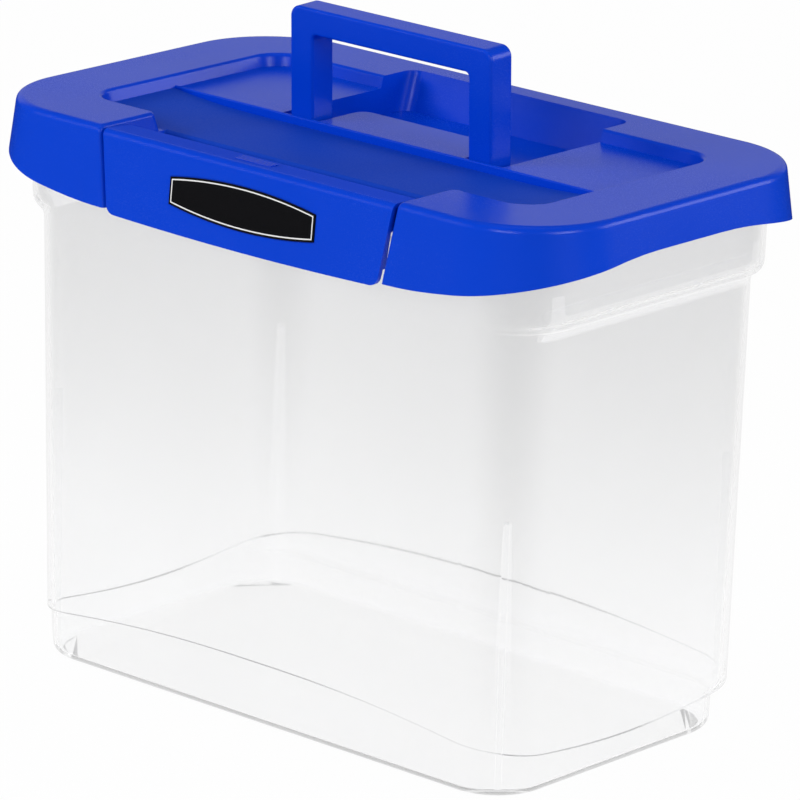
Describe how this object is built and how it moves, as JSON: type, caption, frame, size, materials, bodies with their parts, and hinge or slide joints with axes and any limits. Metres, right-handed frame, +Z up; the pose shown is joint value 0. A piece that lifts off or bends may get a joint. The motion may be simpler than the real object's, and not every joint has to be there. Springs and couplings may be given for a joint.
{
  "type": "file storage box",
  "caption": "Portable file box for hanging folders: clear tub, flared lid with a recessed top, folding carrying handle and front latch.",
  "frame": {"origin": "middle of the flat underside of the tub's foot, level with the floor and midway between the tub's walls", "axes": "+X along the box's length, -Y towards the latch side (front), +Z up"},
  "size_m": [0.3626, 0.2193, 0.3242],
  "materials": {
    "tub": "clear, slightly milky",
    "lid": "satin blue",
    "handle": "satin blue",
    "latch": "satin blue",
    "label": "gloss black with a thin white line"
  },
  "bodies": {
    "tub": {"tub": "tub"},
    "lid": {"lid": "lid"},
    "handle": {"handle": "handle"},
    "latch": {"latch": "latch", "label": "label"}
  },
  "joints": [
    {"name": "lid_hinge", "type": "hinge", "parent": "tub", "child": "lid", "pos_m": [0, 0.1093, 0.235], "axis": [-1, 0, 0], "range_deg": [0, 105]},
    {"name": "handle_hinge", "type": "hinge", "parent": "lid", "child": "handle", "pos_m": [0, 0.0029, 0.2644], "axis": [-1, 0, 0], "range_deg": [0, 90]},
    {"name": "latch_hinge", "type": "hinge", "parent": "lid", "child": "latch", "pos_m": [0, -0.089, 0.2675], "axis": [-1, 0, 0], "range_deg": [0, 80]}
  ]
}
